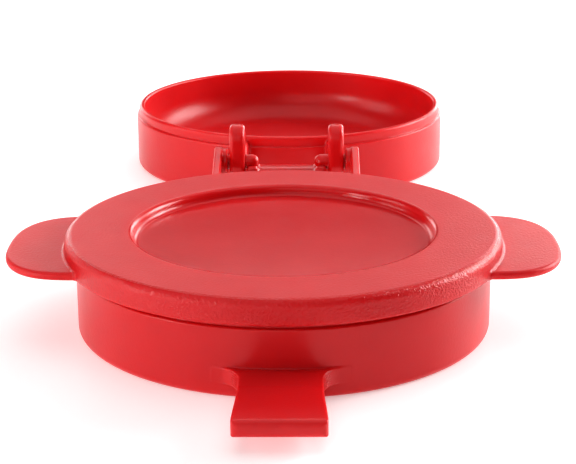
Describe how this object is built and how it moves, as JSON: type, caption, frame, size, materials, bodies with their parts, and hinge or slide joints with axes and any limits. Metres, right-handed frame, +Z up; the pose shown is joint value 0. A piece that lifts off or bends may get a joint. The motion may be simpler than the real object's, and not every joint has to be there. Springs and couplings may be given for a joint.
{
  "type": "hinged patty press",
  "caption": "Round patty press: two shallow dishes hinged rim to rim with slotted hooks, finger tabs, and a loose winged press plate with a shallow recess.",
  "frame": {"origin": "centre of the base dish's flat underside", "axes": "+Z up, +Y from the base dish over the hinge to the open top dish, +X to the right seen from the base's tab"},
  "size_m": [0.1596, 0.371, 0.0364],
  "materials": {
    "dish_plastic": "satin moulded polypropylene with a fine grain",
    "plate_plastic": "satin moulded polypropylene with a fine spark grain on the rounded edge",
    "pin_plastic": "smooth moulded plastic"
  },
  "bodies": {
    "base": {"base_dish": "dish_plastic"},
    "pins": {"hinge_pin_left": "pin_plastic", "hinge_pin_right": "pin_plastic"},
    "top": {"top_dish": "dish_plastic"},
    "plate": {"press_plate": "plate_plastic"}
  },
  "joints": [
    {"name": "top_dish_fold", "type": "hinge", "parent": "base", "child": "pins", "pos_m": [0, 0.0925, 0.0233], "axis": [1, 0, 0], "range_deg": [0, 180]},
    {"name": "top_dish_float", "type": "slide", "parent": "pins", "child": "top", "axis": [0, 0, -1], "range_m": [0, 0.0068]},
    {"name": "plate_lift", "type": "slide", "parent": "base", "child": "plate", "axis": [0, 0, 1], "range_m": [0, 0.06]}
  ],
  "couplings": [
    {"joint": "top_dish_float", "follows": "top_dish_fold", "m_per_rad": 0.0021}
  ]
}
